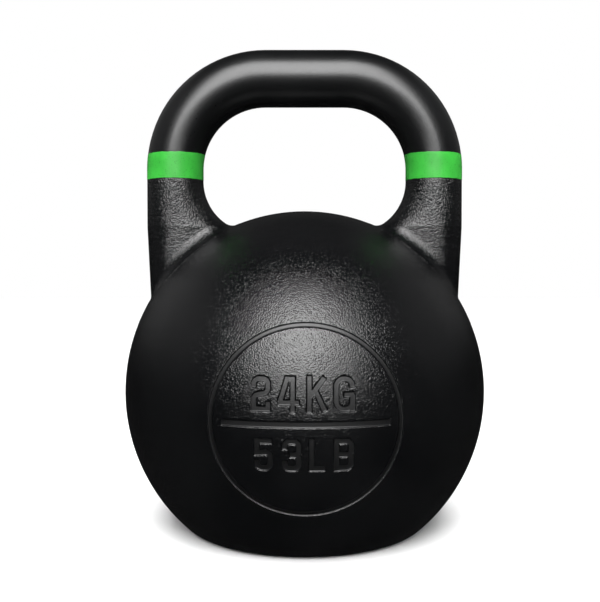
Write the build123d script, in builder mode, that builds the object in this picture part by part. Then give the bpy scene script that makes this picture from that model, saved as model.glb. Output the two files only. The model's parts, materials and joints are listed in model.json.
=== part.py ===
from build123d import *

import os
from math import asin, degrees, radians, sin, sqrt

# Competition kettlebell, 24 kg class, in millimetres.
# Origin: centre of the flat base. +X across the handle, -Y the marked front, +Z up.

# --- ball ---
ball_r = 105.0            # outer radius of the ball
ball_z = 80.5             # height of the ball's centre above the flat base
base_edge_r = 14.0        # rounding between the flat base and the ball
overall_height = 280.0    # base to the top of the handle

# --- hollow core, closed from below ---
core_r = 75.5             # radius of the hollow left by the foundry core
core_z = 93.0             # height of the hollow's centre
opening_r = 20.0          # threaded opening through the base, drawn at its pitch radius
seat_r = 27.0             # counterbore that takes the plug's head
seat_depth = 7.0
ballast_level = 46.0      # height that the ballast charge fills the hollow to

# --- base plug and its seal ---
plug_head_r = 26.6
plug_head_low = 0.8       # the head stays above the floor
seal_thickness = 1.5
plug_top = 18.0
key_across_flats = 14.0
key_depth = 8.0
plug_edge = 0.8           # chamfer round the plug's head

# --- handle ---
bar_r = 16.5              # bar and leg radius
leg_x = 76.5              # centre-line of each leg
corner_r = 53.5           # bend radius of the centre-line
flare_top = 203.5         # height at which the horn starts to widen inwards
flare_r = 30.4            # radius of the horn's inner flare
flare_drop = 27.5         # height that the flare covers before it meets the ball
foot_low = 118.0          # the foot's solid reaches this far down before it is trimmed
foot_depth = 18.0         # half of the foot's front-to-back depth
foot_outer = 13.8         # half-width of the foot's outer side at its lowest point
taper_top = 176.0         # height at which the outer side starts to draw in

# --- joint between foot and ball ---
weld_fillet_r = 8.0       # dressed concave fillet round each foot
weld_rise = 10.0          # weld metal above the ball's surface
weld_sink = 4.0           # depth of the weld preparation in the ball
weld_reach = 9.5          # how far the weld preparation spreads round the foot
weld_bite = 3.5           # how far the weld runs into the foot
spigot_depth = 10.0       # how far the foot's core goes into its socket in the ball
flare_steps = 5           # loft sections down the flare, closer together where it widens fast

# --- colour bands ---
band_low = 203.5
band_high = 219.0
band_groove = 0.5         # depth of the shallow seat turned in the leg
band_proud = 0.1          # paint thickness above the leg

# --- marking, sunk in the front of the ball ---
mark_depth = 0.8
ring_outer_r = 48.0
ring_z = 77.7             # height of the ring's centre
ring_width = 2.9
divider_half = 40.6
divider_z = 77.2
divider_width = 3.2
pen_width = 2.9
marking_stand_off = 1.0   # how far the cutting tool stands clear of the ball

corner_z = overall_height - bar_r - corner_r
ball_centre = (0, 0, ball_z)

# Each letter is a list of pen strokes on a unit cell, (0, 0) bottom left, (1, 1) top right.
# A stroke that runs past the cell makes up the pen's half width at its end.
letters = {
    "2": [[(0, 0.74), (0, 1), (1, 1), (1, 0.53), (0, 0.44), (0, 0), (1, 0), (1, 0.24)]],
    "4": [[(0.8, -0.1), (0.8, 1), (0.45, 1), (0, 0.22)], [(-0.08, 0.22), (1.2, 0.22)]],
    "K": [[(0, -0.1), (0, 1.1)], [(0, 0.38), (0.95, 1.04)], [(0.38, 0.62), (1, -0.06)]],
    "G": [[(1, 0.72), (1, 1), (0, 1), (0, 0), (1, 0), (1, 0.45), (0.5, 0.45)]],
    "5": [[(1.1, 1), (0, 1), (0, 0.62), (1, 0.6), (1, 0), (0, 0), (0, 0.26)]],
    "3": [
        [(0, 0.74), (0, 1), (1, 1), (1, 0.54), (0.45, 0.52)],
        [(0.45, 0.54), (1, 0.5), (1, 0), (0, 0), (0, 0.28)],
    ],
    "L": [[(0, 1.1), (0, 0), (1, 0)]],
    "B": [
        [(0, 0.52), (0, 1), (0.95, 1), (0.95, 0.53), (0, 0.51)],
        [(0, 0.52), (1, 0.5), (1, 0), (0, 0), (0, 0.53)],
    ],
}

# Letter, left edge, width and the row's bottom and height.
marking_rows = [
    ("2", -26.2, 9.7, 83.2, 17.2),
    ("4", -13.8, 10.6, 83.2, 17.2),
    ("K", 0.3, 10.3, 83.2, 17.2),
    ("G", 13.1, 10.6, 83.2, 17.2),
    ("5", -24.8, 9.3, 54.2, 16.3),
    ("3", -11.5, 9.6, 54.2, 16.3),
    ("L", 1.4, 8.6, 54.2, 16.3),
    ("B", 13.3, 9.9, 54.2, 16.3),
]


def foot(side, grow):
    """The widening foot of one horn, from the end of the round leg down into the ball.

    Every section is half an ellipse on the outer side and a longer one on the inner side.
    grow enlarges the sections all round, or shrinks them when it is negative.
    """
    turns = [radians(90 * step / flare_steps) for step in range(flare_steps + 1)]
    widening = [flare_top - flare_drop * sin(turn) for turn in turns]
    with BuildPart(mode=Mode.PRIVATE) as block:
        for heights in (widening, [widening[-1], foot_low]):
            for height in heights:
                drop = min(flare_top - height, flare_drop)
                inner = bar_r + flare_r - sqrt(flare_r**2 - drop**2) + grow
                draw_in = max(0.0, (taper_top - height) / (taper_top - foot_low))
                outer = bar_r + grow - (bar_r - foot_outer) * draw_in
                half_depth = bar_r + (foot_depth - bar_r) * drop / flare_drop + grow
                turn = 0 if side > 0 else 180
                with BuildSketch(Plane.XY.offset(height)):
                    with BuildLine():
                        centre = (side * leg_x, 0)
                        EllipticalCenterArc(centre, outer, half_depth, turn - 90, arc_size=180)
                        EllipticalCenterArc(centre, inner, half_depth, turn + 90, arc_size=180)
                    make_face()
            loft()
    return block.part


def ball_of(radius):
    """A full sphere about the ball's centre."""
    with BuildPart(mode=Mode.PRIVATE) as sphere:
        with Locations(ball_centre):
            Sphere(radius)
    return sphere.part


def colour_band(side):
    """A thin ring of paint round the leg, up into the bend, with both edges level."""
    bend = 2 * degrees(asin((band_high - corner_z) / corner_r))
    with BuildPart() as band:
        with BuildLine(Plane.XZ):
            Line((side * leg_x, band_low), (side * leg_x, corner_z))
            centre = (side * (leg_x - corner_r), corner_z)
            if side > 0:
                CenterArc(centre, corner_r, 0, bend)
            else:
                CenterArc(centre, corner_r, 180, -bend)
        with BuildSketch(Plane.XY.offset(band_low)):
            with Locations((side * leg_x, 0)):
                Circle(bar_r + band_proud)
                Circle(bar_r - band_groove, mode=Mode.SUBTRACT)
        sweep()
        split(bisect_by=Plane.XY.offset(band_high), keep=Keep.BOTTOM)
    return band


# Colour bands, one on each leg.
left_colour_band = colour_band(-1)
right_colour_band = colour_band(1)

left_foot = foot(-1, 0)
right_foot = foot(1, 0)

# Round bar bent into the handle, widened at its feet, down to inside the ball.
with BuildPart() as handle_blank:
    with BuildLine(Plane.XZ):
        FilletPolyline(
            (-leg_x, flare_top),
            (-leg_x, overall_height - bar_r),
            (leg_x, overall_height - bar_r),
            (leg_x, flare_top),
            radius=corner_r,
        )
    with BuildSketch(Plane.XY.offset(flare_top)):
        with Locations((-leg_x, 0)):
            Circle(bar_r)
    sweep()
    add(left_foot)
    add(right_foot)

# Ball and handle as one dressed outline, with the fillet round each foot.
ball_outline = ball_of(ball_r)
with BuildPart() as dressed:
    add(ball_outline)
    add(handle_blank.part)
    seam = new_edges(ball_outline, handle_blank.part, combined=dressed.part)
    fillet(seam, radius=weld_fillet_r)


weld_top = ball_of(ball_r + weld_rise)
weld_floor = ball_of(ball_r - weld_sink)
spigot_floor = ball_of(ball_r - spigot_depth)
left_core = foot(-1, -weld_bite)
right_core = foot(1, -weld_bite)


def foot_weld(side, core):
    """The weld metal round one foot's core, sunk in the ball and dressed to the fillet."""
    reach = foot(side, weld_reach)
    with BuildPart() as weld:
        add(dressed.part)
        add(weld_top, mode=Mode.INTERSECT)
        add(reach, mode=Mode.INTERSECT)
        add(weld_floor, mode=Mode.SUBTRACT)
        add(core, mode=Mode.SUBTRACT)
    return weld


left_foot_weld = foot_weld(-1, left_core)
right_foot_weld = foot_weld(1, right_core)

# The cores of both feet, down to their sockets in the ball.
with BuildPart() as spigots:
    add(left_core)
    add(right_core)
    add(spigot_floor, mode=Mode.SUBTRACT)

# The handle: full section clear of the weld, reduced feet through it, ending as spigots.
with BuildPart() as handle:
    add(handle_blank.part)
    add(weld_top, mode=Mode.SUBTRACT)
    add(spigots.part)
    add(left_colour_band.part, mode=Mode.SUBTRACT)
    add(right_colour_band.part, mode=Mode.SUBTRACT)

# Recessed marking: a ring, a divider and two rows of block letters, as one cutting tool.
with BuildPart() as marking:
    with BuildSketch(Plane.XZ):
        with Locations((0, ring_z)):
            Circle(ring_outer_r)
            Circle(ring_outer_r - ring_width, mode=Mode.SUBTRACT)
        with Locations((0, divider_z)):
            Rectangle(2 * divider_half, divider_width)
        for letter, left, width, bottom, height in marking_rows:
            run = width - pen_width
            rise = height - pen_width
            for pen_stroke in letters[letter]:
                corners = [
                    (left + pen_width / 2 + u * run, bottom + pen_width / 2 + v * rise)
                    for u, v in pen_stroke
                ]
                with BuildLine():
                    Polyline(*corners)
                trace(line_width=pen_width)
    extrude(amount=ball_r + marking_stand_off)
    with Locations(ball_centre):
        Sphere(ball_r - mark_depth, mode=Mode.SUBTRACT)

# Hollow cast ball with its flat base, core opening, plug seat and sunk marking.
with BuildPart() as ball_shell:
    with BuildSketch(Plane.XZ) as half_profile:
        with Locations((0, ball_z)):
            Circle(ball_r)
        Rectangle(
            2 * ball_r,
            2 * ball_r,
            align=(Align.MIN, Align.MIN),
            mode=Mode.INTERSECT,
        )
        base_corner = half_profile.vertices().group_by(Axis.Y)[0].sort_by(Axis.X)[-1]
        fillet(base_corner, radius=base_edge_r)
    revolve(axis=Axis.Z)
    with Locations((0, 0, core_z)):
        Sphere(core_r, mode=Mode.SUBTRACT)
    Cylinder(
        opening_r,
        core_z,
        align=(Align.CENTER, Align.CENTER, Align.MIN),
        mode=Mode.SUBTRACT,
    )
    Cylinder(
        seat_r,
        seat_depth,
        align=(Align.CENTER, Align.CENTER, Align.MIN),
        mode=Mode.SUBTRACT,
    )
    add(marking.part, mode=Mode.SUBTRACT)
    add(left_foot_weld.part, mode=Mode.SUBTRACT)
    add(right_foot_weld.part, mode=Mode.SUBTRACT)
    add(spigots.part, mode=Mode.SUBTRACT)

# Screwed plug that closes the core opening, with a hexagon key socket in its head.
plug_head_high = seat_depth - seal_thickness
with BuildPart() as base_plug:
    with BuildSketch(Plane.XY.offset(plug_head_low)):
        Circle(plug_head_r)
    extrude(amount=plug_head_high - plug_head_low)
    chamfer(base_plug.edges().group_by(Axis.Z)[0], length=plug_edge)
    with BuildSketch(Plane.XY.offset(plug_head_high)):
        Circle(opening_r)
    extrude(amount=plug_top - plug_head_high)
    chamfer(base_plug.edges().group_by(Axis.Z)[-1], length=plug_edge)
    with BuildSketch(Plane.XY.offset(plug_head_low)):
        RegularPolygon(key_across_flats / 2, 6, major_radius=False)
    extrude(amount=key_depth, mode=Mode.SUBTRACT)

# Flat sealing ring pinched between the plug's head and its seat.
with BuildPart() as plug_seal:
    with BuildSketch(Plane.XY.offset(plug_head_high)):
        Circle(plug_head_r)
        Circle(opening_r, mode=Mode.SUBTRACT)
    extrude(amount=seal_thickness)

# Ballast charge: shot set in resin in the bottom of the hollow, resting on the plug.
with BuildPart() as ballast_charge:
    with Locations((0, 0, core_z)):
        Sphere(core_r)
    with Locations((0, 0, ballast_level)):
        Box(
            2 * core_r,
            2 * core_r,
            2 * core_r,
            align=(Align.CENTER, Align.CENTER, Align.MAX),
            mode=Mode.INTERSECT,
        )
    add(base_plug.part, mode=Mode.SUBTRACT)

pieces = {
    "ball_shell": ball_shell,
    "handle": handle,
    "left_foot_weld": left_foot_weld,
    "right_foot_weld": right_foot_weld,
    "left_colour_band": left_colour_band,
    "right_colour_band": right_colour_band,
    "base_plug": base_plug,
    "plug_seal": plug_seal,
    "ballast_charge": ballast_charge,
}

os.makedirs("parts", exist_ok=True)
for piece_name, piece in pieces.items():
    piece.part.label = piece_name
    export_step(piece.part, f"parts/{piece_name}.step")
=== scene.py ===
import json
from math import acos, asin, atan2, cos, pi, radians, sin, sqrt, tan

import bpy
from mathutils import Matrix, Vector

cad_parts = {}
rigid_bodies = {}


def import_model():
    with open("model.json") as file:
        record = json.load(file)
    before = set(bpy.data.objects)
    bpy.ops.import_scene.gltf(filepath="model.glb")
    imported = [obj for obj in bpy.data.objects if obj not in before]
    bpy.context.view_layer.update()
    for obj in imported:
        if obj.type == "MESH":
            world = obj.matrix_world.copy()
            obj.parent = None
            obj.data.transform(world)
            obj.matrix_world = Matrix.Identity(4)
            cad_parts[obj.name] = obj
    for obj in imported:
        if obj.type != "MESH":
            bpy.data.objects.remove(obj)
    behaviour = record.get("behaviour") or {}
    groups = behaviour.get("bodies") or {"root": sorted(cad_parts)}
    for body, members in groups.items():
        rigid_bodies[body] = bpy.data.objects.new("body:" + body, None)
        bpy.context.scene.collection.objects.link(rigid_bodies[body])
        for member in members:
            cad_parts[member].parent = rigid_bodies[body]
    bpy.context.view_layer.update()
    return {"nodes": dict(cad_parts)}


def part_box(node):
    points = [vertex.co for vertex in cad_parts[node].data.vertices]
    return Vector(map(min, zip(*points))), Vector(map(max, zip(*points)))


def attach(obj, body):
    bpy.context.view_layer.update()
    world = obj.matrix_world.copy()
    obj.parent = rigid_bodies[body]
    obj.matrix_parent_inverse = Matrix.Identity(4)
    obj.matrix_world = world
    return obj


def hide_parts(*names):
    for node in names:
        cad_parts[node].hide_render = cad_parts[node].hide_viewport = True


for leftover in list(bpy.data.objects):
    bpy.data.objects.remove(leftover)
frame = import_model()

# STUDIO
# A pale paper floor under a tall softbox that leans over the kettlebell from the front, with a
# wide weak diffuser behind it, dim walls at the sides and the back, and a glow from the ceiling
# that lights the paper. The camera stands half a metre in front of the handle.

mm = 0.001


class Socket:
    """One output of a shader node, so that maths on it is written as a plain expression."""

    def __init__(self, tree, output=None):
        self.tree = tree
        self.output = output

    def node(self, kind, settings=None, inputs=None, output=0):
        """Adds a node with its settings and with values or links at its inputs."""
        made = self.tree.nodes.new("ShaderNode" + kind)
        for name, value in (settings or {}).items():
            setattr(made, name, value)
        for name, value in (inputs or {}).items():
            if isinstance(value, Socket):
                self.tree.links.new(value.output, made.inputs[name])
            else:
                made.inputs[name].default_value = value
        return Socket(self.tree, made.outputs[output])

    def maths(self, operation, *others):
        """One Math node on this value and the others."""
        values = dict(enumerate((self, *others)))
        return self.node("Math", {"operation": operation}, values)

    def __add__(self, other):
        return self.maths("ADD", other)

    def __mul__(self, other):
        return self.maths("MULTIPLY", other)

    def __sub__(self, other):
        return self.maths("SUBTRACT", other)

    def __rsub__(self, other):
        return (self * -1.0) + other

    __radd__ = __add__
    __rmul__ = __mul__

    def ramp(self, low, high):
        """0 at low, 1 at high, smooth between them."""
        inputs = {"Value": self, "From Min": low, "From Max": high}
        return self.node("MapRange", {"interpolation_type": "SMOOTHSTEP"}, inputs)

    def mix(self, first, second):
        """A colour that goes from first to second as this value goes from 0 to 1."""
        return self.node("Mix", {"data_type": "RGBA"}, {0: self, 6: first, 7: second}, 2)

    def noise(self, scale, detail):
        """Cloudy noise over this place, with that many features to the metre."""
        return self.node("TexNoise", inputs={"Vector": self, "Scale": scale, "Detail": detail})

    def cells(self, scale, output=0):
        """Round cells over this place: distance from each middle, or a colour from output 1."""
        inputs = {"Vector": self, "Scale": scale}
        return self.node("TexVoronoi", {"feature": "F1"}, inputs, output)

    def upward(self):
        """How high this place is."""
        return self.node("SeparateXYZ", inputs={"Vector": self}, output=2)

    def bump(self, distance, strength=1.0):
        """A normal that stands this height up by that distance."""
        inputs = {"Strength": strength, "Distance": distance, "Height": self}
        return self.node("Bump", inputs=inputs)


def new_material(name):
    """A material with one Principled shader: returns it, its Object coordinates and the shader."""
    material = bpy.data.materials.new(name)
    material.use_nodes = True
    shader = material.node_tree.nodes["Principled BSDF"]
    return material, Socket(material.node_tree).node("TexCoord", output=3), shader


def feed(shader, **inputs):
    """Sets or links the shader's inputs, named with underscores for spaces."""
    for name, value in inputs.items():
        target = shader.inputs[name.replace("_", " ")]
        if isinstance(value, Socket):
            value.tree.links.new(value.output, target)
        else:
            target.default_value = value


def area_light(name, place, aim, width, height, power):
    """A rectangular softbox at place, turned to aim."""
    bpy.ops.object.light_add(type="AREA", location=place)
    light = bpy.context.object
    light.name = name
    light.rotation_euler = (Vector(aim) - Vector(place)).to_track_quat("-Z", "Y").to_euler()
    light.data.shape = "RECTANGLE"
    light.data.size = width
    light.data.size_y = height
    light.data.energy = power


bpy.ops.mesh.primitive_plane_add(size=8.0, location=(0, 0, 0))
floor = bpy.context.object
floor.name = "floor"
paper, paper_place, paper_shader = new_material("studio_paper")
fibres = paper_place.noise(60.0, 2.0)
feed(
    paper_shader,
    Base_Color=fibres.mix((0.86, 0.86, 0.86, 1), (0.9, 0.9, 0.9, 1)),
    Roughness=0.95,
    Specular_IOR_Level=0.1,
)
floor.data.materials.append(paper)
floor.visible_glossy = False

# The backdrop is white to the eye and nearly dark in reflections.
backdrop_in_mirror = 0.015
world = bpy.data.worlds.new("studio")
world.use_nodes = True
bpy.context.scene.world = world
backdrop = world.node_tree.nodes["Background"]
seen = Socket(world.node_tree).node("LightPath")
glow = seen * (1 - backdrop_in_mirror) + backdrop_in_mirror
world.node_tree.links.new(glow.output, backdrop.inputs["Strength"])
backdrop.inputs["Color"].default_value = (1, 1, 1, 1)

room_middle = (0, 0, 0.12)
area_light("front_softbox", (-0.06, -1.18, 1.10), (-0.06, -0.274, 0.677), 1.24, 1.40, 61.0)
area_light("wide_diffuser", (0.0, -1.48, 0.68), (0.0, -0.574, 0.257), 2.40, 1.25, 3.0)
area_light("left_wall", (-1.15, 0.35, 0.85), room_middle, 2.2, 1.1, 1.7)
area_light("right_wall", (1.15, 0.35, 0.85), room_middle, 2.2, 1.1, 1.35)
area_light("back_wall", (0.0, 1.35, 1.05), room_middle, 2.2, 1.2, 0.25)
bpy.ops.object.light_add(type="SUN", location=(0, 0, 2), rotation=(0, 0, 0))
ceiling = bpy.context.object
ceiling.name = "ceiling_glow"
ceiling.data.energy = 3.7
ceiling.data.angle = radians(60)
ceiling.visible_glossy = False

camera_tilt = radians(2.02)
bpy.ops.object.camera_add(location=(-2.7 * mm, -0.5, 0.150))
camera = bpy.context.object
camera.name = "front_camera"
camera.rotation_euler = (radians(90) - camera_tilt, 0, 0)
camera.data.sensor_width = 36.0
camera.data.lens = 50.2
camera.data.clip_start = 0.01
bpy.context.scene.camera = camera
bpy.context.scene.view_settings.view_transform = "Standard"

# BALL
# Hollow iron casting with a flat machined base, a core opening with a seat for the plug, and a
# ring, a divider and the weight sunk in its front by the pattern, with soft cast edges. The iron
# is under a baked matt black powder coat, whose fine grain shows as speckle in the light.

ball_radius = 105.0 * mm
ball_middle = Vector((0.0, 0.0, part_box("ball_shell")[1].z - ball_radius))
coat_lap = 0.05 * mm      # the ball's coat lies this much under the weld's flush edge
skin = ball_radius - coat_lap

mark_depth = 0.8 * mm
soft_edge = 0.5 * mm
ring_outer = 48.0 * mm
ring_middle = 77.7 * mm
ring_width = 2.9 * mm
divider_middle = 77.2 * mm
divider_half = 40.6 * mm
divider_width = 3.2 * mm
pen = 2.9 * mm
plate_inset = 0.75 * soft_edge      # the stamp's plates are this much inside their strokes
plate_width = pen - 2 * plate_inset
corner_steps = 6

# Pen strokes on a unit cell: across, up, and the bend radius in millimetres at that corner.
letters = {
    "2": [[(0, 0.72, 0), (0, 1, 2.6), (1, 1, 2.6), (1, 0.56, 2.2), (0, 0.44, 2.2),
           (0, 0, 0), (1, 0, 0), (1, 0.24, 0)]],
    "4": [[(0.8, -0.1, 0), (0.8, 1, 0), (0.45, 1, 0), (0, 0.22, 0)],
          [(-0.08, 0.22, 0), (1.2, 0.22, 0)]],
    "K": [[(0, -0.1, 0), (0, 1.1, 0)], [(0, 0.38, 0), (0.95, 1.04, 0)],
          [(0.38, 0.62, 0), (1, -0.06, 0)]],
    "G": [[(1, 0.76, 0), (1, 1, 3.7), (0, 1, 3.7), (0, 0, 3.7), (1, 0, 3.0), (1, 0.47, 0)],
          [(0.5, 0.47, 0), (1.1, 0.47, 0)], [(1.02, 0.47, 0), (1.02, -0.08, 0)]],
    "5": [[(1.1, 1, 0), (0, 1, 0), (0, 0.56, 0), (1, 0.6, 2.4), (1, 0, 2.6), (0, 0, 2.6),
           (0, 0.28, 0)]],
    "3": [[(0, 0.72, 0), (0, 1, 2.4), (1, 1, 2.4), (1, 0.53, 1.6), (0.4, 0.51, 0)],
          [(0.4, 0.51, 0), (1, 0.49, 1.6), (1, 0, 2.4), (0, 0, 2.4), (0, 0.28, 0)]],
    "L": [[(0, 1.1, 0), (0, 0, 0), (1.1, 0, 0)]],
    "B": [[(0, -0.1, 0), (0, 1.1, 0)], [(0, 1, 0), (1, 1, 2.2), (1, 0.51, 1.5), (0, 0.51, 0)],
          [(0, 0.51, 0), (1, 0.51, 1.5), (1, 0, 2.4), (0, 0, 0)]],
}
# Letter, left edge, width, bottom and height, in millimetres.
marking_rows = [
    ("2", -26.2, 9.7, 83.2, 17.2),
    ("4", -13.8, 10.6, 83.2, 17.2),
    ("K", 0.3, 10.3, 83.2, 17.2),
    ("G", 13.1, 10.6, 83.2, 17.2),
    ("5", -24.8, 9.3, 54.2, 16.3),
    ("3", -11.5, 9.6, 54.2, 16.3),
    ("L", 1.4, 8.6, 54.2, 16.3),
    ("B", 13.3, 9.9, 54.2, 16.3),
]


def deselect():
    if bpy.context.object and bpy.context.object.mode == "EDIT":
        bpy.ops.object.mode_set(mode="OBJECT")
    bpy.ops.object.select_all(action="DESELECT")


def activate(piece):
    deselect()
    bpy.context.view_layer.objects.active = piece
    piece.select_set(True)


def apply_all(piece):
    activate(piece)
    for modifier in list(piece.modifiers):
        bpy.ops.object.modifier_apply(modifier=modifier.name)


def plate(middle, length, width, turn):
    """A flat plate of the stamp, in the plane of the disc."""
    deselect()
    bpy.ops.mesh.primitive_plane_add(size=1.0, location=(middle[0], 0, middle[1]))
    made = bpy.context.object
    made.scale = (length, width, 1)
    made.rotation_euler = (radians(90), -turn, 0)
    return made


def bent(corners):
    """The points of a pen stroke, its corners turned as arcs of their own radius."""
    points = [Vector(corners[0][0])]
    for (before, _), (corner, radius), (after, _) in zip(corners, corners[1:], corners[2:]):
        corner = Vector(corner)
        if radius == 0:
            points.append(corner)
            continue
        back = (Vector(before) - corner).normalized()
        ahead = (Vector(after) - corner).normalized()
        half = back.angle(ahead) / 2
        reach = radius / tan(half)
        middle = corner + (back + ahead).normalized() * radius / sin(half)
        for i in range(corner_steps + 1):
            share = i / corner_steps
            spot = corner + (back * (1 - share) + ahead * share) * reach
            points.append(middle + (spot - middle).normalized() * radius)
    points.append(Vector(corners[-1][0]))
    return points


# The stamp: one plate for every straight of a stroke, lapped over the next where they turn.
divider_plate = 2 * divider_half, divider_width - 2 * plate_inset
plates = []
for letter, left, letter_width, bottom, letter_height in marking_rows:
    run, rise = letter_width * mm - pen, letter_height * mm - pen
    for stroke in letters[letter]:
        corners = [
            ((left * mm + pen / 2 + u * run, bottom * mm + pen / 2 + v * rise), radius * mm)
            for u, v, radius in stroke
        ]
        points = bent(corners)
        last = len(points) - 2
        for i, (a, b) in enumerate(zip(points, points[1:])):
            along = b - a
            lap = min(plate_width, along.length) / 2
            lap_a = 0.0 if i == 0 else lap
            lap_b = 0.0 if i == last else lap
            middle = (a + b) / 2 + along.normalized() * (lap_b - lap_a) / 2
            turn = atan2(along.y, along.x)
            plates.append(plate(middle, along.length + lap_a + lap_b, plate_width, turn))
plates.append(plate((0, divider_middle), *divider_plate, 0.0))
activate(plates[0])
for made in plates:
    made.select_set(True)
bpy.ops.object.transform_apply(location=True, rotation=True, scale=True)
bpy.ops.object.join()
stamp = bpy.context.object
stamp.name = "stamp"

# The stamped disc: a round patch filled with a grid, which is finer round the marking, and pressed
# in where the stamp is near. Each fine area is its half width, bottom and top.
disc_cells = 96
disc_radius = ring_outer - ring_width - 1.2 * mm
fine_areas = [
    (27.6 * mm, 82.0 * mm, 101.8 * mm),
    (26.6 * mm, 52.8 * mm, 72.0 * mm),
    (divider_half + 1.5 * mm, divider_middle - 2.8 * mm, divider_middle + 2.8 * mm),
]
deselect()
bpy.ops.mesh.primitive_circle_add(
    vertices=4 * disc_cells,
    radius=disc_radius,
    location=(0, 0, ring_middle),
    rotation=(radians(90), 0, 0),
)
ball = bpy.context.object
ball.name = "ball"
bpy.ops.object.transform_apply(location=True, rotation=True, scale=True)
bpy.ops.object.mode_set(mode="EDIT")
bpy.ops.mesh.select_all(action="SELECT")
bpy.ops.mesh.fill_grid(span=disc_cells, offset=0)
bpy.ops.mesh.select_mode(type="FACE")
bpy.ops.mesh.select_all(action="DESELECT")
bpy.ops.object.mode_set(mode="OBJECT")
for face in ball.data.polygons:
    across, up = face.center.x, face.center.z
    face.select = any(abs(across) < half and low < up < high for half, low, high in fine_areas)
bpy.ops.object.mode_set(mode="EDIT")
bpy.ops.mesh.subdivide(number_cuts=3, ngon=False)
bpy.ops.object.mode_set(mode="OBJECT")
pressed = ball.vertex_groups.new(name="pressed")
pressed.add(range(len(ball.data.vertices)), 1.0, "REPLACE")
nearness = ball.modifiers.new("nearness", "VERTEX_WEIGHT_PROXIMITY")
nearness.vertex_group = "pressed"
nearness.target = stamp
nearness.proximity_mode = "GEOMETRY"
nearness.proximity_geometry = {"FACE"}
nearness.min_dist = soft_edge
nearness.max_dist = 0.0
nearness.falloff_type = "SMOOTH"
press = ball.modifiers.new("press", "DISPLACE")
press.vertex_group = "pressed"
press.direction = "Y"
press.mid_level = 0.0
press.strength = mark_depth
apply_all(ball)
bpy.data.objects.remove(stamp)


def on_skin(across, up, depth=0.0):
    """The Y of a point on the ball's front at that place, pressed in by the depth."""
    return depth - sqrt(skin**2 - across**2 - (up - ball_middle.z) ** 2)


def groove_depth(radius):
    """Depth of the ring groove at a radius from its middle, with soft lips and a flat floor."""
    inside = min(radius - ring_outer + ring_width, ring_outer - radius)
    share = min(max(inside, 0.0) / groove_lip, 1.0)
    return mark_depth * share * share * (3 - 2 * share)


def select_open_edges():
    bpy.ops.mesh.select_mode(type="EDGE")
    bpy.ops.mesh.select_all(action="DESELECT")
    bpy.ops.mesh.select_non_manifold(
        extend=False,
        use_wire=False,
        use_multi_face=False,
        use_non_contiguous=False,
        use_verts=False,
    )


# The disc takes the ball's curve, and its edge is run out through the ring groove to its rim.
groove_lip = 1.6 * soft_edge
groove_steps = 18
groove_start = ring_outer - ring_width - 0.3 * mm
groove_end = ring_outer + 0.4 * mm
groove_step = (groove_end - groove_start) / groove_steps
groove_radii = [groove_start + groove_step * i for i in range(groove_steps + 1)]
disc_rim = ring_outer + 1.6 * mm
for vertex in ball.data.vertices:
    vertex.co.y = on_skin(vertex.co.x, vertex.co.z, vertex.co.y)
activate(ball)
bpy.ops.object.mode_set(mode="EDIT")
select_open_edges()
for radius in groove_radii + [disc_rim]:
    bpy.ops.mesh.extrude_edges_move()
    bpy.ops.object.mode_set(mode="OBJECT")
    for vertex in ball.data.vertices:
        if vertex.select:
            spoke = Vector((vertex.co.x, 0, vertex.co.z - ring_middle)).normalized() * radius
            up = ring_middle + spoke.z
            vertex.co = (spoke.x, on_skin(spoke.x, up, groove_depth(radius)), up)
    bpy.ops.object.mode_set(mode="EDIT")
bpy.ops.object.mode_set(mode="OBJECT")


def spun(name, points, axis, centre, steps):
    """A full turn of an outline about an axis, its poles closed."""
    mesh = bpy.data.meshes.new(name)
    mesh.from_pydata(points, [(i, i + 1) for i in range(len(points) - 1)], [])
    made = bpy.data.objects.new(name, mesh)
    bpy.context.scene.collection.objects.link(made)
    activate(made)
    bpy.ops.object.mode_set(mode="EDIT")
    bpy.ops.mesh.select_all(action="SELECT")
    bpy.ops.mesh.spin(steps=steps, angle=2 * pi, center=centre, axis=axis)
    bpy.ops.mesh.select_all(action="SELECT")
    bpy.ops.mesh.remove_doubles(threshold=0.02 * mm)
    bpy.ops.object.mode_set(mode="OBJECT")
    return made


def face_outwards():
    """Turns all faces of the active piece outwards."""
    bpy.ops.object.mode_set(mode="EDIT")
    bpy.ops.mesh.select_all(action="SELECT")
    bpy.ops.mesh.normals_make_consistent(inside=False)
    bpy.ops.object.mode_set(mode="OBJECT")


# The rest of the ball: an outline from outside the ring round to the back, spun about the axis
# that points to the front, and cut off above the skirt.
skirt = 21.0 * mm
shell_cut = skirt + 2.5 * mm
shell_steps = 160
shell_rings = 64
front_turn = asin((ring_outer + 6.5 * mm) / skin)
outline = []
for i in range(shell_rings + 1):
    turn = front_turn + (pi - front_turn) * i / shell_rings
    outline.append((0, -skin * cos(turn), ball_middle.z + skin * sin(turn)))
shell = spun("shell", outline, (0, 1, 0), ball_middle, shell_steps)
bpy.ops.object.mode_set(mode="EDIT")
bpy.ops.mesh.select_all(action="SELECT")
bpy.ops.mesh.bisect(plane_co=(0, 0, shell_cut), plane_no=(0, 0, 1), clear_inner=True)
bpy.ops.object.mode_set(mode="OBJECT")

# Below the cut the outline is spun about the upright axis instead: skirt, rounded base edge, flat
# base, plug seat, core opening and the hollow.
base_steps = 192
skirt_steps = 8
edge_round = 14.0 * mm
edge_steps = 14
base_radii = (54 * mm, 46 * mm, 38 * mm, 31 * mm, 28.1 * mm)
seat_radius = 27.0 * mm
seat_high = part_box("plug_seal")[1].z
opening = 20.0 * mm
break_edge = 0.6 * mm
hollow_radius = 75.5 * mm
hollow_middle = 93.0 * mm
hollow_steps = 40

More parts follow.
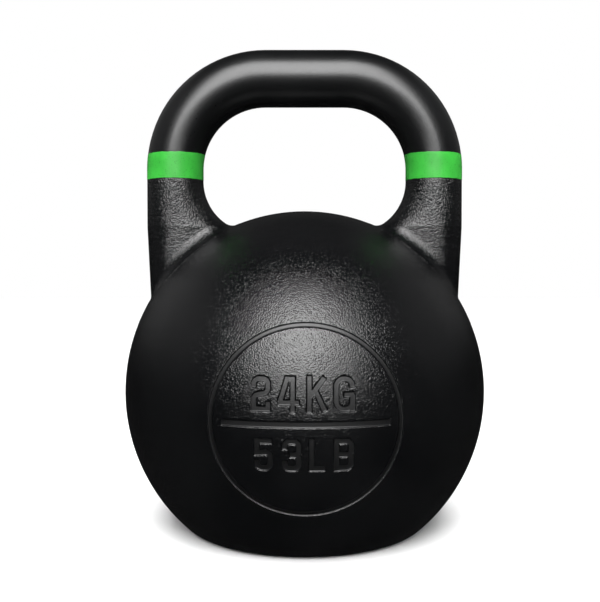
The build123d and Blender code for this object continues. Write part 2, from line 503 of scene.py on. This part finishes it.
edge_x = sqrt((skin - edge_round) ** 2 - (ball_middle.z - edge_round) ** 2)
edge_turn = atan2(edge_x, ball_middle.z - edge_round)
skirt_turn = acos((ball_middle.z - skirt) / skin)
hollow_turn = asin(opening / hollow_radius)
outline = []
for i in range(skirt_steps + 1):
    turn = skirt_turn + (edge_turn - skirt_turn) * i / skirt_steps
    outline.append((skin * sin(turn), 0, ball_middle.z - skin * cos(turn)))
for i in range(1, edge_steps + 1):
    turn = edge_turn * (1 - i / edge_steps)
    outline.append((edge_x + edge_round * sin(turn), 0, edge_round * (1 - cos(turn))))
outline += [(radius, 0, 0) for radius in base_radii]
outline += [
    (seat_radius + break_edge, 0, 0),
    (seat_radius, 0, break_edge),
    (seat_radius, 0, seat_high),
    (opening + break_edge, 0, seat_high),
    (opening, 0, seat_high + break_edge),
]
for i in range(hollow_steps + 1):
    turn = hollow_turn + (pi - hollow_turn) * i / hollow_steps
    outline.append((hollow_radius * sin(turn), 0, hollow_middle - hollow_radius * cos(turn)))
inside = spun("inside", outline, (0, 0, 1), (0, 0, 0), base_steps)


def select_rims(piece, test):
    """In edit mode: selects the open edges whose two ends pass test."""
    bpy.ops.object.mode_set(mode="EDIT")
    select_open_edges()
    bpy.ops.object.mode_set(mode="OBJECT")
    points = piece.data.vertices
    for vertex in points:
        vertex.select = False
    for edge in piece.data.edges:
        edge.select = edge.select and all(test(points[v].co) for v in edge.vertices)
        if edge.select:
            for v in edge.vertices:
                points[v].select = True
    bpy.ops.object.mode_set(mode="EDIT")


# Shell and skirt are joined over the cut, and shell and disc over the gap round the ring.
activate(ball)
shell.select_set(True)
inside.select_set(True)
bpy.ops.object.join()
above_cut = shell_cut + 0.5 * mm
select_rims(ball, lambda co: co.z < above_cut)
bpy.ops.mesh.fill(use_beauty=True)
select_rims(ball, lambda co: co.z > above_cut)
bpy.ops.mesh.bridge_edge_loops()
face_outwards()
bpy.ops.object.shade_smooth_by_angle(angle=radians(76))


def coat(name, relief_depth, grain_scale, smooth_above=None, sunk=False):
    """Black powder coat with a grain of that depth and that many bumps to the metre.

    smooth_above grinds it smooth above a height. sunk is the ball's: blunter in its marking and
    scuffed where it stands on the floor.
    """
    material, place, shader = new_material(name)
    height = place.upward()
    grain = place.noise(grain_scale, 1.5)
    sweep = place.noise(22.0, 2.0)
    ripple = place.noise(95.0, 2.0)
    bumps = grain - place.cells(0.88 * grain_scale) * 0.5
    roughness = (grain - 0.5) * 0.2 + (sweep - 0.5) * 0.06 + 0.15
    colour = sweep.ramp(0.35, 0.65).mix((0.0011, 0.0012, 0.0014, 1), (0.0020, 0.0021, 0.0023, 1))
    if smooth_above is not None:
        ground = height.ramp(smooth_above - 0.6 * mm, smooth_above + 0.6 * mm)
        up_the_leg = height.ramp(smooth_above - 32 * mm, smooth_above - 14 * mm)
        level = (1 - ground * 0.97) * (up_the_leg * 0.45 + 0.55)
        bumps = bumps * level
        roughness = roughness + (1 - level) * 0.18
    if sunk:
        away = place.node("VectorMath", {"operation": "DISTANCE"}, {0: place, 1: ball_middle}, 1)
        outside_marking = away.ramp(ball_radius - 0.7 * mm, ball_radius - 0.3 * mm)
        level = outside_marking * 0.8 + 0.2
        bumps = bumps * level
        roughness = roughness + (1 - level) * 0.34
        scuffs = place.noise(55.0, 5.0).ramp(0.48, 0.66)
        at_floor = 1 - height.ramp(0.05 * mm, 0.5 * mm)
        colour = (scuffs * at_floor).mix(colour, (0.035, 0.034, 0.033, 1))
    feed(
        shader,
        Base_Color=colour,
        Roughness=roughness,
        Normal=(bumps + ripple * 0.03).bump(relief_depth),
        Specular_IOR_Level=0.5,
    )
    return material


def dress(piece, material):
    """Gives a piece its one material."""
    piece.data.materials.clear()
    piece.data.materials.append(material)


dress(ball, coat("ball_coat", relief_depth=0.25 * mm, grain_scale=1420.0, sunk=True))
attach(ball, "root")
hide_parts("ball_shell")

# HANDLE
# One round bar, bent hot to two corners, with each foot forged wide to stand on the ball. The
# grip above the colour bands is ground smooth before it is coated, and the feet below them keep a
# coarser grain than the ball's.

band_low, band_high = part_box("left_colour_band")
handle_coat = coat(
    "handle_coat", relief_depth=0.52 * mm, grain_scale=1180.0, smooth_above=band_low.z
)
dress(frame["nodes"]["handle"], handle_coat)

# FOOT WELDS
# Weld metal laid round each foot where it stands on the ball, ground to a hollow fillet that runs
# out flush, and coated together with the ball.

weld_coat = coat("weld_coat", relief_depth=0.27 * mm, grain_scale=1420.0)
for name in ("left_foot_weld", "right_foot_weld"):
    dress(frame["nodes"][name], weld_coat)

# COLOUR BANDS
# Green enamel rings brushed into a shallow turned seat on each leg, following the bar where it
# starts to bend. They stand a tenth of a millimetre proud and their masked edges are a bit uneven.

bar_radius = 16.5 * mm
bend_radius = 53.5 * mm
handle_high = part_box("handle")[1]
leg_middle = handle_high.x - bar_radius
bend_low = handle_high.z - bar_radius - bend_radius
seat_floor = bar_radius - 0.45 * mm
wall_top = bar_radius - 0.1 * mm
proud = bar_radius + 0.09 * mm
crown_drop = 0.06 * mm      # how far the paint falls off at its edges
crown_rows = 16
crown_reach = 1.5           # rows over which it falls off
floor_rows = 8
paint_thin = 0.15 * mm      # the paint ends this far from the ring's edge
paint_full = 0.45 * mm      # and covers from here on
paint_stray = 0.9 * mm

enamel, band_place, enamel_shader = new_material("green_enamel")
wander = band_place.noise(260.0, 3.0)
drift = band_place.noise(60.0, 2.0)
orange_peel = band_place.noise(700.0, 2.0)
specks = band_place.noise(1500.0, 1.0)
strayed = band_place.upward() + (wander - 0.5) * paint_stray
above_low_edge = strayed.ramp(band_low.z + paint_thin, band_low.z + paint_full)
past_high_edge = strayed.ramp(band_high.z - paint_full, band_high.z - paint_thin)
covered = above_low_edge * (1 - past_high_edge)
body_green = drift.ramp(0.3, 0.7).mix((0.016, 0.185, 0.018, 1), (0.022, 0.245, 0.024, 1))
speckled = specks.ramp(0.62, 0.75).mix(body_green, (0.008, 0.110, 0.010, 1))
feed(
    enamel_shader,
    Base_Color=covered.mix((0.002, 0.002, 0.002, 1), speckled),
    Roughness=(orange_peel - 0.5) * 0.2 + (drift - 0.5) * 0.1 + 0.42,
    Normal=(orange_peel * 0.6 + covered).bump(0.05 * mm),
    Specular_IOR_Level=0.25,
)

# Each row of the ring: distance from the bar's centre-line and height, up the outside and back
# down the floor of the seat.
band_tall = band_high.z - band_low.z
band_rows = [(seat_floor, band_low.z), (wall_top, band_low.z)]
for i in range(crown_rows + 1):
    share = i / crown_rows
    inward = min(share, 1 - share) * crown_rows / crown_reach
    radius = proud - crown_drop * max(0.0, 1 - inward) ** 2
    band_rows.append((radius, band_low.z + crown_drop / 2 + (band_tall - crown_drop) * share))
band_rows += [(wall_top, band_high.z), (seat_floor, band_high.z)]
for i in range(1, floor_rows):
    band_rows.append((seat_floor, band_high.z - band_tall * i / floor_rows))
band_rows.append(band_rows[0])

for side, name in ((-1, "left_colour_band"), (1, "right_colour_band")):
    deselect()
    bpy.ops.mesh.primitive_circle_add(vertices=128, radius=1.0)
    band = bpy.context.object
    band.name = name.replace("colour", "painted")
    bpy.ops.object.mode_set(mode="EDIT")
    bpy.ops.mesh.select_all(action="SELECT")
    for row in band_rows[1:]:
        bpy.ops.mesh.extrude_edges_move(TRANSFORM_OT_translate={"value": (0, 0, 1)})
    bpy.ops.object.mode_set(mode="OBJECT")
    for vertex in band.data.vertices:
        radius, up = band_rows[round(vertex.co.z)]
        turn = atan2(vertex.co.y, vertex.co.x)
        across = leg_middle + radius * cos(turn)
        if up > bend_low:
            reach = bend_radius + radius * cos(turn)
            across = leg_middle - bend_radius + sqrt(reach**2 - (up - bend_low) ** 2)
        vertex.co = (side * across, radius * sin(turn), up)
    bpy.ops.object.mode_set(mode="EDIT")
    bpy.ops.mesh.select_all(action="SELECT")
    bpy.ops.mesh.remove_doubles(threshold=0.002 * mm)
    face_outwards()
    bpy.ops.object.shade_smooth_by_angle(angle=radians(60))
    dress(band, enamel)
    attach(band, "root")
    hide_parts(name)

# BASE PLUG
# Turned steel plug, blackened, screwed up into the core opening with a hexagon key. Its head sits
# a little above the floor inside its seat, with a bevel round it and fine turning marks.

plug_low, plug_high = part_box("base_plug")
head_radius = plug_high.x
head_high = seat_high - 1.5 * mm
plug_edge = 0.8 * mm
key_half = 7.0 * mm
key_depth = 8.0 * mm
key_land = 15.0 * mm        # a row on the head's face, clear of the key's corners
plug_steps = 144
turning_rate = 26000.0      # a fine turning mark every quarter of a millimetre
plug_outline = [
    (0, 0, plug_low.z),
    (key_land, 0, plug_low.z),
    (head_radius - plug_edge, 0, plug_low.z),
    (head_radius, 0, plug_low.z + plug_edge),
    (head_radius, 0, head_high),
    (opening, 0, head_high),
    (opening, 0, plug_high.z - plug_edge),
    (opening - plug_edge, 0, plug_high.z),
    (0, 0, plug_high.z),
]
plug = spun("plug", plug_outline, (0, 0, 1), (0, 0, 0), plug_steps)
face_outwards()
deselect()
bpy.ops.mesh.primitive_cylinder_add(
    vertices=6,
    radius=key_half / cos(radians(30)),
    depth=2 * key_depth,
    location=(0, 0, plug_low.z),
    rotation=(0, 0, radians(30)),
)
key = bpy.context.object
cut = plug.modifiers.new("key", "BOOLEAN")
cut.object = key
cut.operation = "DIFFERENCE"
cut.solver = "EXACT"
broken = plug.modifiers.new("broken", "BEVEL")
broken.width = 0.2 * mm
broken.segments = 3
broken.limit_method = "ANGLE"
broken.angle_limit = radians(35)
apply_all(plug)
bpy.data.objects.remove(key)
bpy.ops.object.shade_smooth_by_angle(angle=radians(32))

steel, plug_place, steel_shader = new_material("blackened_steel")
flat_inputs = {0: plug_place, 1: (1, 1, 0)}
flat_place = plug_place.node("VectorMath", {"operation": "MULTIPLY"}, flat_inputs)
from_axis = flat_place.node("VectorMath", {"operation": "LENGTH"}, {0: flat_place}, 1)
turning_marks = (from_axis * turning_rate).maths("SINE")
patches = plug_place.noise(260.0, 5.0)
pits = plug_place.cells(420.0)
worn = patches.ramp(0.45, 0.8)
feed(
    steel_shader,
    Base_Color=worn.mix((0.06, 0.058, 0.06, 1), (0.14, 0.136, 0.13, 1)),
    Metallic=0.9,
    Roughness=(patches - 0.5) * 0.3 + 0.42,
    Normal=(turning_marks * 0.4 + pits + patches).bump(0.02 * mm, strength=0.8),
)
dress(plug, steel)
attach(plug, "root")
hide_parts("base_plug")

# PLUG SEAL
# Moulded black rubber ring with rounded edges. It slips over the plug's shank and is pinched flat
# between the plug's head and its seat when the plug is screwed up.

seal_edge = 0.35 * mm
seal_gap = 0.05 * mm
corner_points = 5
seal_out = head_radius - seal_gap - seal_edge
seal_in = opening + seal_gap + seal_edge
seal_outline = []
for corner_x, corner_z, first_turn in (
    (seal_out, seat_high - seal_edge, 90),
    (seal_out, head_high + seal_edge, 0),
    (seal_in, head_high + seal_edge, -90),
    (seal_in, seat_high - seal_edge, -180),
):
    for i in range(corner_points + 1):
        turn = radians(first_turn - 90 * i / corner_points)
        seal_outline.append((corner_x + seal_edge * cos(turn), 0, corner_z + seal_edge * sin(turn)))
seal_outline.append(seal_outline[0])
seal = spun("seal", seal_outline, (0, 0, 1), (0, 0, 0), plug_steps)
face_outwards()
bpy.ops.object.shade_smooth()

rubber, seal_place, rubber_shader = new_material("seal_rubber")
bloom = seal_place.noise(180.0, 3.0)
moulded_grain = seal_place.noise(2200.0, 2.0)
feed(
    rubber_shader,
    Base_Color=bloom.ramp(0.35, 0.7).mix((0.012, 0.012, 0.013, 1), (0.03, 0.03, 0.032, 1)),
    Roughness=(bloom - 0.5) * 0.3 + 0.68,
    Normal=moulded_grain.bump(0.04 * mm),
    Specular_IOR_Level=0.4,
)
dress(seal, rubber)
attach(seal, "root")
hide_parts("plug_seal")

# BALLAST
# Iron shot stirred into dark resin and poured in through the core opening, where it sets level
# and brings the kettlebell up to its marked weight. The shot shows through at the surface.

shot_scale = 420.0
shot, shot_place, shot_shader = new_material("bonded_shot")
from_shot = shot_place.cells(shot_scale)
shot_colour = shot_place.cells(shot_scale, output=1)
shot_tint = shot_colour.node("SeparateColor", inputs={"Color": shot_colour})
flow = shot_place.noise(70.0, 3.0)
shot_seen = 1 - from_shot.ramp(0.32, 0.42)
shot_tone = shot_tint.mix((0.20, 0.195, 0.19, 1), (0.34, 0.33, 0.32, 1))
feed(
    shot_shader,
    Base_Color=shot_seen.mix((0.012, 0.011, 0.010, 1), shot_tone),
    Metallic=shot_seen * 0.85,
    Roughness=(flow - 0.5) * 0.2 + shot_seen * 0.12 + 0.3,
    Normal=(1 - from_shot).bump(0.8 * mm),
)
dress(frame["nodes"]["ballast_charge"], shot)
